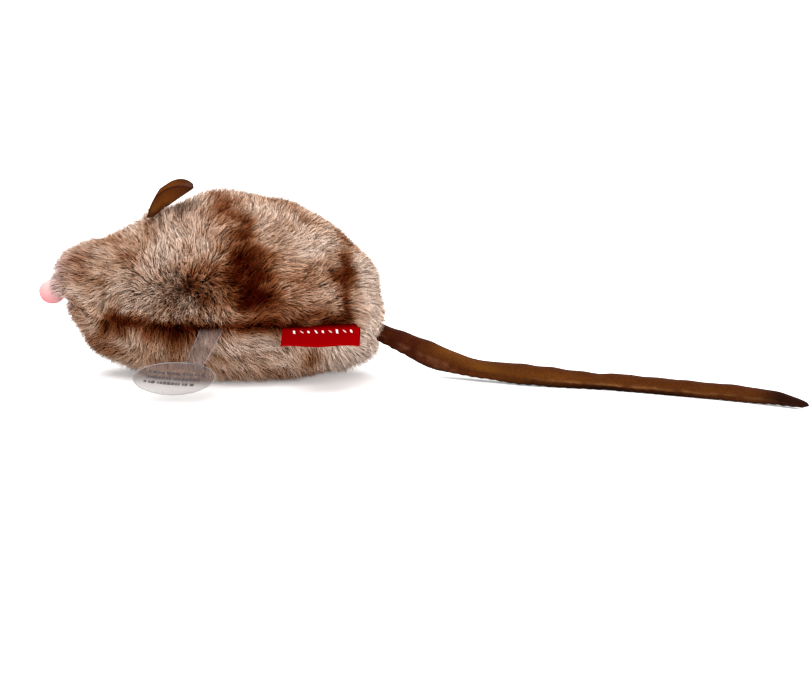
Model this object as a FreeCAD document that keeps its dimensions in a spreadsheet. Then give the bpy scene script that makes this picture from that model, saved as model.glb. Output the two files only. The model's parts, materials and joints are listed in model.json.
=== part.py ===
import FreeCAD, Part
import math
import os

# Soft toy mouse with a sewn-in sound module.  Millimetres, +Z up, nose towards -X,
# tail towards +X, the toy's left side towards -Y, flat belly resting on z = 0.

doc = FreeCAD.newDocument("toy_mouse")
sheet = doc.addObject("Spreadsheet::Sheet", "Sizes")
row_count = 0


def size(alias, value, note=""):
    """Add one driving dimension to the sheet and give its name back."""
    global row_count
    row_count += 1
    cell = "A%d" % row_count
    sheet.set(cell, "%g" % value)
    sheet.setAlias(cell, alias)
    if note:
        sheet.set("B%d" % row_count, note)
    return "Sizes." + alias


# ---------------------------------------------------------------- driving sizes
size("coat_thickness", 6.0, "backing cloth and pile together")
size("seam_z", 16.6, "height of the side seam")
size("belly_trim", 30, "depth of the block that trims the belly flat")
size("block", 160, "side of the trimming blocks")

# coat sections from snout to rump: station, underside, top, half width
COAT = [
    (-45.2, 20.0, 30.0, 4.9),
    (-44.0, 18.3, 32.8, 7.1),
    (-41.3, 14.8, 35.2, 10.1),
    (-37.0, 10.4, 36.9, 13.1),
    (-31.0, 5.6, 38.8, 16.4),
    (-23.5, 1.4, 42.2, 20.2),
    (-14.0, -1.8, 46.6, 23.6),
    (-3.0, -3.2, 50.0, 25.4),
    (9.0, -3.0, 49.6, 25.4),
    (19.0, -1.4, 47.2, 23.9),
    (27.0, 1.0, 43.0, 20.9),
    (33.0, 3.4, 38.0, 17.2),
    (38.0, 6.0, 32.4, 13.1),
    (41.5, 9.0, 26.8, 8.8),
    (43.2, 12.0, 22.4, 5.1),
]
FIRST_INNER = 3
LAST_INNER = 12
for number, (station, under, top, half) in enumerate(COAT):
    size("coat_x_%d" % number, station)
    size("coat_under_%d" % number, under)
    size("coat_top_%d" % number, top)
    size("coat_half_%d" % number, half)

# nose
size("nose_x", -47.8)
size("nose_z", 23.2)
size("nose_radius", 3.8)

# ears
size("ear_left_x", -19.1, "hinge line of the left ear")
size("ear_left_y", -6.5)
size("ear_left_z", 45.3)
size("ear_left_lean", 54, "degrees back from upright")
size("ear_right_x", -20.8, "the right ear is sewn in a little further forwards")
size("ear_right_y", 6.4)
size("ear_right_z", 44.4)
size("ear_right_lean", 56)
size("ear_splay", 13, "degrees outwards")
size("ear_length", 14.6)
size("ear_half_width", 6.2)
size("ear_cup_radius", 8.2)
size("ear_thickness", 1.1)
size("ear_hem_radius", 0.8)
size("ear_hem_length", 6.4)
size("ear_hem_gap", 0.35)
size("ear_root_depth", 4.0)
size("ear_root_width", 3.0)
size("ear_seat_tilt", -75, "degrees from the leaf back to the coat")

# tail: centre of each section, radius, heading and downward slope in degrees
TAIL_BASE = [
    (46.0, -0.7, 10.6, 2.5, -11, 22),
    (50.0, -1.6, 9.0, 2.8, -13, 24),
    (57.8, -4.2, 5.9, 3.4, -20, 19),
    (64.0, -6.8, 4.3, 3.0, -24, 11),
    (70.3, -9.8, 3.3, 2.6, -25, 5),
    (80.0, -14.2, 3.0, 2.6, -24, 2),
]
TAIL_MID = [
    (80.0, -14.2, 3.0, 2.5, -24, 2),
    (86.9, -17.2, 2.85, 2.6, -20, 1),
    (95.0, -19.6, 2.55, 2.3, -15, 1),
    (103.0, -21.6, 2.35, 2.0, -17, 1),
    (112.0, -24.9, 2.3, 2.1, -22, 0),
    (118.0, -27.5, 2.3, 2.1, -24, 0),
]
TAIL_TIP = [
    (118.0, -27.5, 2.3, 2.0, -24, 0),
    (124.0, -30.2, 2.25, 2.1, -24, 0),
    (133.0, -34.2, 2.2, 2.05, -25, 0),
    (143.0, -39.2, 2.1, 1.9, -30, 1),
    (150.0, -44.0, 1.85, 1.45, -37, 3),
    (154.4, -47.6, 1.5, 0.8, -40, 5),
]
size("tail_ball_1", 2.35, "rounded end inside the first bend")
size("tail_ball_2", 2.45)
size("tail_ball_3", 1.95)
size("tail_bend_gap", 0.65)
size("tail_root_radius", 2.5)
size("tail_root_length", 9.5)
size("tail_root_lean", 114, "degrees from upright, pointing out of the rump")

# woven label
size("label_width", 21.4)
size("label_reach", 10.0)
size("label_thickness", 0.8)
size("label_x", 17.5)
size("label_y", -25.2)
size("label_z", 16.6)
size("label_yaw", 13.0, "the seam turns in towards the rump")
size("label_drop", 13.0)
size("label_gap", 0.35)
size("label_root_reach", 8.0)

# pull tab of clear film
size("tab_thickness", 0.3)
size("tab_width", 6.0)
size("tab_x", -1.7)
size("tab_inner_y", 4.5)
size("tab_bend_y", -28.0)
size("tab_slot_width", 7.4)
size("tab_slot_height", 1.3)
size("tab_stem_length", 11.8)
size("tab_stem_yaw", -45)
size("tab_stem_drop", 55)
size("tab_grip_x", -10.6)
size("tab_grip_y", -36.0)
size("tab_grip_z", 5.8)
size("tab_grip_long", 10.8)
size("tab_grip_short", 6.8)
size("tab_grip_drop", 27)

# sound module
size("case_x", 4.0, "middle of the case")
size("case_length", 38.0)
size("case_width", 26.0)
size("case_under", 14.4)
size("case_height", 14.4)
size("case_wall", 1.4)
size("case_round", 3.0)
size("lid_height", 3.4)
size("pouch_cloth", 0.9)
size("boss_radius", 2.2)
size("boss_x_front", -11.6)
size("boss_x_rear", 19.6)
size("boss_y", 9.9)
size("screw_radius", 0.9)
size("screw_length", 8.0)
size("screw_head_radius", 1.6)
size("screw_head_height", 1.1)
size("grille_radius", 0.6)
size("grille_pitch", 2.6)

size("cell_x", -3.6)
size("cell_radius", 5.8)
size("cell_height", 3.1)
size("cell_under", 17.1)
size("holder_front", -13.6)
size("holder_length", 17.0)
size("holder_side", 14.0)
size("holder_height", 6.5)
size("holder_under", 19.0)
size("contact_thickness", 0.3)
size("contact_width", 5.0)
size("contact_length", 13.0)
size("contact_x", -7.0)

size("board_x", 12.9)
size("board_length", 17.0)
size("board_width", 15.2)
size("board_thickness", 1.2)
size("board_under", 18.0)
size("chip_radius", 2.8)
size("chip_height", 1.1)

size("sensor_x", 7.2)
size("sensor_radius", 1.45)
size("sensor_length", 9.0)
size("sensor_wall", 0.3)
size("sensor_ball", 0.95)
size("sensor_lift", 0.2)

size("speaker_x", 14.0)
size("speaker_radius", 7.3)
size("speaker_depth", 4.2)
size("speaker_under", 22.4)
size("speaker_wall", 0.8)
size("magnet_radius", 3.4)
size("magnet_height", 1.6)
size("cone_radius", 5.9)
size("cone_thickness", 0.5)
size("cone_under", 25.5)
size("gasket_inner", 6.2)
size("post_length", 4.0)
size("post_width", 10.0)

size("wire_radius", 0.45)
size("wire_x", 5.2)
size("wire_y", 5.3)

doc.recompute()

nodes = []
helpers = 0


def fresh(name):
    """A document-wide unique name for a construction feature."""
    global helpers
    helpers += 1
    return "%s_%03d" % (name, helpers)


def text(value):
    """A number or a sheet name written for an expression."""
    if isinstance(value, str):
        return value
    return "%.6g" % value


def S(formula):
    """Prefix each sheet name in a short formula."""
    out = ""
    word = ""
    for letter in formula + " ":
        if letter.isalnum() or letter == "_":
            word += letter
            continue
        if word and word[0].isalpha() and word not in ("sin", "cos", "deg", "tan"):
            word = "Sizes." + word
        out += word + letter
        word = ""
    return out.strip()


def place(obj, x=0, y=0, z=0, yaw=0, pitch=0, roll=0):
    """Bind a placement to sheet formulas."""
    obj.setExpression(
        "Placement",
        "placement(vector(%s; %s; %s); rotation(%s; %s; %s))"
        % (text(x), text(y), text(z), text(yaw), text(pitch), text(roll)),
    )
    return obj


def bind(obj, **formulas):
    for name, formula in formulas.items():
        obj.setExpression(name, text(formula))
    return obj


def box(name, length, width, height, x=0, y=0, z=0, yaw=0, pitch=0, roll=0):
    obj = doc.addObject("Part::Box", fresh(name))
    bind(obj, Length=length, Width=width, Height=height)
    return place(obj, x, y, z, yaw, pitch, roll)


def rod(name, radius, height, x=0, y=0, z=0, yaw=0, pitch=0, roll=0):
    obj = doc.addObject("Part::Cylinder", fresh(name))
    bind(obj, Radius=radius, Height=height)
    return place(obj, x, y, z, yaw, pitch, roll)


def ball(name, radius, x=0, y=0, z=0):
    obj = doc.addObject("Part::Sphere", fresh(name))
    bind(obj, Radius=radius)
    return place(obj, x, y, z)


def cut(base, tool, name="cut"):
    obj = doc.addObject("Part::Cut", fresh(name))
    obj.Base = base
    obj.Tool = tool
    return obj


def common(base, tool, name="common"):
    obj = doc.addObject("Part::Common", fresh(name))
    obj.Base = base
    obj.Tool = tool
    return obj


def fuse(*shapes):
    obj = doc.addObject("Part::MultiFuse", fresh("fuse"))
    obj.Shapes = list(shapes)
    obj.Refine = True
    return obj


def fillet_vertical(solid, radius_name, name):
    """Round the four upright edges of a block."""
    doc.recompute()
    obj = doc.addObject("Part::Fillet", fresh(name))
    obj.Base = solid
    radius = sheet.get(radius_name)
    upright = []
    for index, edge in enumerate(solid.Shape.Edges, start=1):
        ends = [vertex.Point for vertex in edge.Vertexes]
        if len(ends) != 2:
            continue
        along = ends[1] - ends[0]
        if abs(along.x) < 1e-6 and abs(along.y) < 1e-6:
            upright.append((index, radius, radius))
    obj.Edges = upright
    return obj


def node(obj, label):
    """Mark a feature as a finished piece."""
    obj.Label = label
    nodes.append(obj)
    return obj


# ---------------------------------------------------------------- coat
def coat_loft(first, last, inset, name):
    """Body solid through upright ellipses; inset shrinks every section."""
    sections = []
    for number in range(first, last + 1):
        ring = doc.addObject("Part::Ellipse", fresh(name + "_ring"))
        height = "(coat_top_%d - coat_under_%d) / 2" % (number, number)
        bind(
            ring,
            MajorRadius=S("%s - %s" % (height, inset)),
            MinorRadius=S("coat_half_%d - %s" % (number, inset)),
        )
        place(
            ring,
            x=S("coat_x_%d" % number),
            z=S("(coat_top_%d + coat_under_%d) / 2" % (number, number)),
            pitch=-90,
        )
        sections.append(ring)
    loft = doc.addObject("Part::Loft", fresh(name))
    loft.Sections = sections
    loft.Solid = True
    loft.Ruled = False
    loft.MaxDegree = 3
    return loft


outer = coat_loft(0, len(COAT) - 1, "0", "coat_outer")
cavity = coat_loft(FIRST_INNER, LAST_INNER, "coat_thickness", "coat_cavity")
under_floor = box(
    "under_floor", S("block"), S("block"), S("belly_trim"),
    x=S("-block / 2"), y=S("-block / 2"), z=S("-belly_trim"),
)
shell = cut(cut(outer, under_floor, "flat_belly"), cavity, "coat_shell")

# nose
nose_ball = ball("nose_ball", S("nose_radius"), x=S("nose_x"), z=S("nose_z"))
node(nose_ball, "nose_cap")
shell = cut(shell, nose_ball, "shell_nose")


# ears: a cupped leaf on a rolled hem, and the root that is caught in the coat seam
def ear(side, label):
    """side is -1 for the toy's left ear and +1 for its right ear."""
    where = dict(
        x=S(label + "_x"),
        y=S(label + "_y"),
        z=S(label + "_z"),
        pitch=S(label + "_lean"),
        roll=S("ear_splay * %d" % -side),
    )
    leaf = doc.addObject("Part::Ellipse", fresh("ear_leaf"))
    bind(leaf, MajorRadius=S("ear_length / 2"), MinorRadius=S("ear_half_width"))
    place(leaf, x=-6, z=S("ear_length / 2 - 0.2"), pitch=-90)
    face = doc.addObject("Part::Extrusion", fresh("ear_outline"))
    face.Base = leaf
    face.DirMode = "Custom"
    face.Dir = FreeCAD.Vector(1, 0, 0)
    face.LengthFwd = 12
    face.Solid = True
    around = rod(
        "ear_cup", S("ear_cup_radius"), S("ear_length + 6"),
        x=S("ear_thickness / 2 - ear_cup_radius"), z=-3,
    )
    inside = rod(
        "ear_hollow", S("ear_cup_radius - ear_thickness"), S("ear_length + 8"),
        x=S("ear_thickness / 2 - ear_cup_radius"), z=-4,
    )
    cup = common(cut(around, inside, "ear_trough"), face, "ear_cupped")
    front = box("ear_front", 12, 40, 40, x=-9, y=-20, z=-10)
    cup = common(cup, front, "ear_trimmed")
    hem = rod(
        "ear_hem", S("ear_hem_radius"), S("ear_hem_length"),
        y=S("ear_hem_length / 2"), roll=90,
    )
    leaf_solid = fuse(cup, hem)
    place(leaf_solid, **where)
    node(leaf_solid, label)
    # root: a folded allowance below the hem, hollowed clear of it
    seat = box(
        "ear_seat", S("ear_root_width"), S("ear_hem_length"), S("ear_root_depth"),
        x=S("-ear_root_width / 2 * cos(ear_seat_tilt * 1deg)"
            " - (ear_root_depth + ear_hem_radius) * sin(ear_seat_tilt * 1deg)"),
        y=S("-ear_hem_length / 2"),
        z=S("ear_root_width / 2 * sin(ear_seat_tilt * 1deg)"
            " - (ear_root_depth + ear_hem_radius) * cos(ear_seat_tilt * 1deg)"),
        pitch=S("ear_seat_tilt"),
    )
    room = rod(
        "ear_room", S("ear_hem_radius + ear_hem_gap"), S("ear_hem_length + 4"),
        y=S("ear_hem_length / 2 + 2"), roll=90,
    )
    root = cut(seat, room, "ear_root")
    place(root, **where)
    return root


root_left = node(ear(-1, "ear_left"), "ear_root_left")
root_right = node(ear(1, "ear_right"), "ear_root_right")
shell = cut(shell, root_left, "shell_ear_left")
shell = cut(shell, root_right, "shell_ear_right")


# tail
def tail_loft(stations, name):
    """Tapered tube through round sections that follow the tail's line."""
    sections = []
    for number, (x, y, z, radius, heading, drop) in enumerate(stations):
        tag = "%s_%d" % (name, number)
        size(tag + "_x", x)
        size(tag + "_y", y)
        size(tag + "_z", z)
        size(tag + "_radius", radius)
        size(tag + "_heading", heading)
        size(tag + "_drop", drop)
        doc.recompute()
        ring = doc.addObject("Part::Circle", fresh(name + "_ring"))
        bind(ring, Radius=S(tag + "_radius"))
        place(
            ring, S(tag + "_x"), S(tag + "_y"), S(tag + "_z"),
            yaw=S(tag + "_heading"), pitch=S("90 + %s_drop" % tag),
        )
        sections.append(ring)
    loft = doc.addObject("Part::Loft", fresh(name))
    loft.Sections = sections
    loft.Solid = True
    loft.Ruled = False
    loft.MaxDegree = 3
    return loft


base_tube = tail_loft(TAIL_BASE, "tail_base")
mid_tube = tail_loft(TAIL_MID, "tail_mid")
tip_tube = tail_loft(TAIL_TIP, "tail_tip")


def at_start(tag):
    return dict(x=S(tag + "_0_x"), y=S(tag + "_0_y"), z=S(tag + "_0_z"))


room_1 = ball("bend_room", S("tail_ball_1 + tail_bend_gap"), **at_start("tail_base"))
room_2 = ball("bend_room", S("tail_ball_2 + tail_bend_gap"), **at_start("tail_mid"))
room_3 = ball("bend_room", S("tail_ball_3 + tail_bend_gap"), **at_start("tail_tip"))
end_1 = ball("bend_ball", S("tail_ball_1"), **at_start("tail_base"))
end_2 = ball("bend_ball", S("tail_ball_2"), **at_start("tail_mid"))
end_3 = ball("bend_ball", S("tail_ball_3"), **at_start("tail_tip"))
node(fuse(cut(base_tube, room_1), end_2), "tail_base")
node(fuse(cut(mid_tube, room_2), end_3), "tail_mid")
node(cut(tip_tube, room_3), "tail_tip")

root_tube = rod(
    "tail_stub", S("tail_root_radius"), S("tail_root_length"),
    pitch=S("tail_root_lean - 180"), **at_start("tail_base"),
)
tail_root = node(fuse(root_tube, end_1), "tail_root")
shell = cut(shell, tail_root, "shell_tail")

# label: loose flap outside, allowance caught in the seam inside
flap = box(
    "label_flap", S("label_width"), S("label_reach"), S("label_thickness"),
    y=S("-label_reach"), z=S("-label_thickness / 2"),
)
flap_edge = rod("label_fold", S("label_thickness / 2"), S("label_width"), pitch=90)
label = fuse(flap, flap_edge)
place(
    label, S("label_x"), S("label_y"), S("label_z"),
    yaw=S("label_yaw"), roll=S("label_drop"),
)
node(label, "label")
allowance = box(
    "label_allowance", S("label_width - 1"), S("label_root_reach"), S("label_thickness"),
    x=0.5, z=S("-label_thickness / 2"),
)
fold_room = rod(
    "label_room", S("label_thickness / 2 + label_gap"), S("label_width + 2"), x=-1, pitch=90,
)
label_root = cut(allowance, fold_room, "label_root")
place(label_root, S("label_x"), S("label_y"), S("label_z"), yaw=S("label_yaw"))
node(label_root, "label_root")
shell = cut(shell, label_root, "shell_label")
# pull tab: straight strip inside, stem and round grip outside
strip = box(
    "tab_strip", S("tab_width"), S("tab_inner_y - tab_bend_y"), S("tab_thickness"),
    x=S("tab_x - tab_width / 2"), y=S("tab_bend_y"), z=S("seam_z - tab_thickness / 2"),
)
stem = box(
    "tab_stem", S("tab_width"), S("tab_stem_length"), S("tab_thickness"),
    x=S("tab_x + tab_width / 2 * cos(tab_stem_yaw * 1deg)"),
    y=S("tab_bend_y + tab_width / 2 * sin(tab_stem_yaw * 1deg)"),
    z=S("seam_z - tab_thickness / 2"),
    yaw=S("180 + tab_stem_yaw"), roll=S("-tab_stem_drop"),
)
oval = doc.addObject("Part::Ellipse", fresh("tab_oval"))
bind(oval, MajorRadius=S("tab_grip_long"), MinorRadius=S("tab_grip_short"))
grip = doc.addObject("Part::Extrusion", fresh("tab_grip"))
grip.Base = oval
grip.DirMode = "Custom"
grip.Dir = FreeCAD.Vector(0, 0, 1)
bind(grip, LengthFwd=S("tab_thickness"))
grip.Solid = True
place(
    grip, S("tab_grip_x"), S("tab_grip_y"), S("tab_grip_z"), roll=S("tab_grip_drop"),
)
node(fuse(strip, stem, grip), "pull_tab")

slot = box(
    "tab_slot", S("tab_slot_width"), 60, S("tab_slot_height"),
    x=S("tab_x - tab_slot_width / 2"), y=-53.5, z=S("seam_z - tab_slot_height / 2"),
)
shell = cut(shell, slot, "shell_slot")

# split the shell into its sewn panels
upper_left = box(
    "upper_left", S("block"), S("block"), S("block"),
    x=S("-block / 2"), y=S("-block"), z=S("seam_z"),
)
upper_right = box(
    "upper_right", S("block"), S("block"), S("block"), x=S("-block / 2"), z=S("seam_z"),
)
lower = box(
    "lower", S("block"), S("block"), S("block"),
    x=S("-block / 2"), y=S("-block / 2"), z=S("seam_z - block"),
)
node(common(shell, upper_left), "coat_side_left")
node(common(shell, upper_right), "coat_side_right")
node(common(shell, lower), "coat_belly")


# ---------------------------------------------------------------- sound module
def block(name, grow, under, height, rounding):
    """Case-shaped block, grown sideways by grow, with rounded upright edges."""
    raw = box(
        name, S("case_length + 2 * %s" % grow), S("case_width + 2 * %s" % grow), height,
        x=S("case_x - case_length / 2 - %s" % grow), y=S("-case_width / 2 - %s" % grow),
        z=under,
    )
    return fillet_vertical(raw, rounding, name + "_round")


case_block = block("case_block", "0", S("case_under"), S("case_height"), "case_round")
pouch_block = block(
    "pouch_block", "pouch_cloth", S("case_under - pouch_cloth"),
    S("case_height + 2 * pouch_cloth"), "case_round",
)
node(cut(cut(pouch_block, case_block), slot), "module_pouch")
stuffing = cut(cut(cut(cut(cavity, pouch_block), slot), tail_root), label_root)
node(stuffing, "stuffing")

hollow = box(
    "case_hollow", S("case_length - 2 * case_wall"), S("case_width - 2 * case_wall"),
    S("case_height - 2 * case_wall"),
    x=S("case_x - case_length / 2 + case_wall"), y=S("-case_width / 2 + case_wall"),
    z=S("case_under + case_wall"),
)
case_shell = cut(case_block, hollow, "case_shell")
bosses = []
screws = []
for number, (along, across) in enumerate(
    [("boss_x_front", -1), ("boss_x_front", 1), ("boss_x_rear", -1), ("boss_x_rear", 1)],
    start=1,
):
    spot = dict(x=S(along), y=S("boss_y * %d" % across))
    bosses.append(
        rod("boss", S("boss_radius"), S("case_height - case_wall"),
            z=S("case_under + case_wall / 2"), **spot)
    )
    shaft = rod(
        "screw_shaft", S("screw_radius"), S("screw_length"),
        z=S("case_under + case_height - screw_length"), **spot,
    )
    head = rod(
        "screw_head", S("screw_head_radius"), S("screw_head_height"),
        z=S("case_under + case_height - screw_head_height"), **spot,
    )
    screws.append(node(fuse(shaft, head), "case_screw_%d" % number))
post = box(
    "board_post", S("post_length"), S("post_width"), S("board_under - case_under - case_wall / 2"),
    x=S("board_x - post_length / 2"), y=S("-post_width / 2"), z=S("case_under + case_wall / 2"),
)
case_body = fuse(case_shell, post, *bosses)
for screw in screws:
    case_body = cut(case_body, screw, "case_drilled")
for ring, count in ((0, 1), (1, 6)):
    for step in range(count):
        angle = math.radians(60 * step)
        hole = rod(
            "grille_hole", S("grille_radius"), S("case_wall + 1"),
            x=S("speaker_x + grille_pitch * %.4f" % (ring * math.cos(angle))),
            y=S("grille_pitch * %.4f" % (ring * math.sin(angle))),
            z=S("case_under + case_height - case_wall - 0.5"),
        )
        case_body = cut(case_body, hole, "case_grille")
case_body = cut(case_body, slot, "case_slotted")
lid_zone = box(
    "lid_zone", S("block"), S("block"), S("block"),
    x=S("-block / 2"), y=S("-block / 2"), z=S("case_under + case_height - lid_height"),
)
node(cut(case_body, lid_zone), "case_bottom")
node(common(case_body, lid_zone), "case_top")

# cells, their holder and the two contact strips
bore = rod("holder_bore", S("cell_radius"), 20, x=S("cell_x"), z=15)
holder_block = box(
    "holder_block", S("holder_length"), S("holder_side"), S("holder_height"),
    x=S("holder_front"), y=S("-holder_side / 2"), z=S("holder_under"),
)
node(cut(holder_block, bore), "cell_holder")
for number in range(3):
    cell = rod(
        "cell", S("cell_radius"), S("cell_height"),
        x=S("cell_x"), z=S("cell_under + cell_height * %d" % number),
    )
    node(cell, "cell_%d" % (number + 1))
contact_plus = box(
    "contact", S("contact_length"), S("contact_width"), S("contact_thickness"),
    x=S("contact_x"), y=S("wire_y + 0.7 - contact_width"), z=S("cell_under + 3 * cell_height"),
)
node(contact_plus, "contact_plus")
contact_minus = box(
    "contact", S("contact_length"), S("contact_width"), S("contact_thickness"),
    x=S("contact_x"), y=S("-wire_y - 0.7"), z=S("case_under + case_wall"),
)
node(contact_minus, "contact_minus")
lead_plus = rod(
    "lead", S("wire_radius"),
    S("cell_under + 3 * cell_height - board_under - board_thickness"),
    x=S("wire_x"), y=S("wire_y"), z=S("board_under + board_thickness"),
)
node(lead_plus, "lead_plus")
lead_minus = rod(
    "lead", S("wire_radius"),
    S("board_under - case_under - case_wall - contact_thickness"),
    x=S("wire_x"), y=S("-wire_y"), z=S("case_under + case_wall + contact_thickness"),
)
node(lead_minus, "lead_minus")

# circuit board and what sits on it
board = box(
    "board", S("board_length"), S("board_width"), S("board_thickness"),
    x=S("board_x - board_length / 2"), y=S("-board_width / 2"), z=S("board_under"),
)
node(board, "circuit_board")
board_top = "board_under + board_thickness"
node(rod("chip", S("chip_radius"), S("chip_height"), x=14.6, y=3.4, z=S(board_top)), "sound_chip")
for label, x, y, long, wide, high in (
    ("resistor_1", 12.6, -5.2, 2.0, 1.2, 0.6),
    ("resistor_2", 15.6, -5.2, 2.0, 1.2, 0.6),
    ("capacitor", 17.8, -1.6, 2.4, 1.8, 1.4),
):
    node(box(label, long, wide, high, x=x, y=y, z=S(board_top)), label)

# motion sensor: a ball that rolls along a can
can_z = board_top + " + sensor_lift + sensor_radius"
can_outer = rod(
    "can_outer", S("sensor_radius"), S("sensor_length"),
    x=S("sensor_x"), y=S("sensor_length / 2"), z=S(can_z), roll=90,
)
can_inner = rod(
    "can_inner", S("sensor_radius - sensor_wall"), S("sensor_length - 2 * sensor_wall"),
    x=S("sensor_x"), y=S("sensor_length / 2 - sensor_wall"), z=S(can_z), roll=90,
)
node(cut(can_outer, can_inner), "sensor_can")
node(
    ball("sensor_ball", S("sensor_ball"), x=S("sensor_x"),
         z=S(can_z + " - sensor_radius + sensor_wall + sensor_ball + 0.1")),
    "sensor_ball",
)
saddle = box(
    "sensor_saddle", S("1.6 * sensor_radius"), 6, 0.9,
    x=S("sensor_x - 0.8 * sensor_radius"), y=-3, z=S(board_top),
)
node(cut(saddle, can_outer), "sensor_base")

# speaker, facing the grille
frame_outer = rod(
    "speaker_outer", S("speaker_radius"), S("speaker_depth"), x=S("speaker_x"),
    z=S("speaker_under"),
)
frame_inner = rod(
    "speaker_inner", S("speaker_radius - speaker_wall"), S("speaker_depth"), x=S("speaker_x"),
    z=S("speaker_under + speaker_wall"),
)
node(cut(frame_outer, frame_inner), "speaker_frame")
node(
    rod("magnet", S("magnet_radius"), S("magnet_height"), x=S("speaker_x"),
        z=S("speaker_under + speaker_wall")),
    "speaker_magnet",
)
node(
    rod("cone", S("cone_radius"), S("cone_thickness"), x=S("speaker_x"), z=S("cone_under")),
    "speaker_cone",
)
roof = "case_under + case_height - case_wall"
gasket_height = roof + " - speaker_under - speaker_depth"
gasket_outer = rod(
    "gasket_outer", S("speaker_radius"), S(gasket_height), x=S("speaker_x"),
    z=S("speaker_under + speaker_depth"),
)
gasket_hole = rod(
    "gasket_hole", S("gasket_inner"), 4, x=S("speaker_x"), z=S("speaker_under + speaker_depth - 1"),
)
node(cut(gasket_outer, gasket_hole), "speaker_gasket")
for number, across in ((1, -1), (2, 1)):
    lead = rod(
        "speaker_lead", S("wire_radius"), S("speaker_under - board_under - board_thickness"),
        x=18.6, y=S("4.6 * %d" % across), z=S(board_top),
    )
    node(lead, "speaker_lead_%d" % number)

# ---------------------------------------------------------------- checks and export
doc.recompute()
for obj in doc.Objects:
    if "Invalid" in obj.State or "Error" in obj.State:
        raise RuntimeError("%s did not build: %s" % (obj.Label, obj.State))
labels = [obj.Label for obj in nodes]
if len(set(labels)) != len(labels):
    raise RuntimeError("two pieces share a name")
os.makedirs("parts", exist_ok=True)
for obj in nodes:
    if obj.Shape.isNull() or not obj.Shape.isValid() or obj.Shape.Volume <= 0:
        raise RuntimeError("%s is not a sound solid" % obj.Label)
    if len(obj.Shape.Solids) != 1:
        raise RuntimeError("%s is in %d pieces" % (obj.Label, len(obj.Shape.Solids)))
    obj.Shape.exportStep("parts/%s.step" % obj.Label)
print("%d pieces written" % len(nodes))
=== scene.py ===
import json
import math

import bpy
import numpy as np
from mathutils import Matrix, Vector
from mathutils.kdtree import KDTree


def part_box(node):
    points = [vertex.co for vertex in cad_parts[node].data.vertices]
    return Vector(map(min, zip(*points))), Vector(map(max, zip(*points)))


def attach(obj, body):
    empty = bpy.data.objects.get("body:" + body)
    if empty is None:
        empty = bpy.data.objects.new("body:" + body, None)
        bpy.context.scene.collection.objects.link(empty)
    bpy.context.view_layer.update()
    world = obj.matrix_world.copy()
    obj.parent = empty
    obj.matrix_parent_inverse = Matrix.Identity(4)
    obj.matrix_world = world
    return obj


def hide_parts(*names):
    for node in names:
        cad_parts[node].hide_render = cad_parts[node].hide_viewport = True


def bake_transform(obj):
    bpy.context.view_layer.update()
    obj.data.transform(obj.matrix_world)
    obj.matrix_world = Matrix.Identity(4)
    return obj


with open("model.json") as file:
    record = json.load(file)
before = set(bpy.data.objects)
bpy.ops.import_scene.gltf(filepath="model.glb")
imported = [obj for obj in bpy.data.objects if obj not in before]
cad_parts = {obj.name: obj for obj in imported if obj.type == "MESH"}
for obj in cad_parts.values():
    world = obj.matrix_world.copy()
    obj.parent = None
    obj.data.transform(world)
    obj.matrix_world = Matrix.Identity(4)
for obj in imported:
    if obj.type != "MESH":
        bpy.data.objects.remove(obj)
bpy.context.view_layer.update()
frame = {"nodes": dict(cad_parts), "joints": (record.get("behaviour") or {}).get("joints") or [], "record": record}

# Plush mouse: long fur over a backing cloth, a velour nose, suede ears and tail, a woven
# label, a film pull tab, and the sound module inside.  Lengths in the code are millimetres
# and go into the meshes through MM; +Z up, nose towards -X, camera side -Y.

MM = 0.001
rng = np.random.default_rng(20)

# ---- places from the frame
JOINTS = {joint["name"]: joint for joint in frame["joints"]}


def joint_place(name):
    """A hinge's point in millimetres."""
    return np.array(JOINTS[name]["pos_m"]) / MM


def rise(value, start, end):
    """0 at start, 1 at end, even between them and flat outside; end may lie below start."""
    return np.clip((value - start) / (end - start), 0, 1)


def bell(value, middle, reach):
    """1 at the middle, falling off smoothly over the reach."""
    return np.exp(-(((value - middle) / reach) ** 2))


# coat sections from snout to rump: station, underside, top, half width (the CAD solid's)
COAT = np.array([
    (-46.6, 25.0, 25.0, 0.0),
    (-45.9, 21.6, 28.4, 3.3),
    (-45.2, 20.0, 30.0, 4.9),
    (-44.0, 18.3, 32.8, 7.1),
    (-41.3, 14.8, 35.2, 10.1),
    (-37.0, 10.4, 36.9, 13.1),
    (-31.0, 5.6, 38.8, 16.4),
    (-23.5, 1.4, 42.2, 20.2),
    (-14.0, -1.8, 46.6, 23.6),
    (-3.0, -3.2, 50.0, 25.4),
    (9.0, -3.0, 49.6, 25.4),
    (19.0, -1.4, 47.2, 23.9),
    (27.0, 1.0, 43.0, 20.9),
    (33.0, 3.4, 38.0, 17.2),
    (38.0, 6.0, 32.4, 13.1),
    (41.5, 9.0, 26.8, 8.8),
    (43.2, 12.0, 22.4, 5.1),
    (44.0, 14.6, 19.8, 2.6),
    (44.3, 17.2, 17.2, 0.0),
])
SEAM = np.array([
    (-50.0, 19.4),
    (-40.0, 18.4),
    (-28.0, 17.2),
    (-12.0, 15.8),
    (2.0, 16.2),
    (16.0, 16.6),
    (30.0, 15.2),
    (38.0, 13.2),
    (50.0, 11.0),
])


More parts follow.
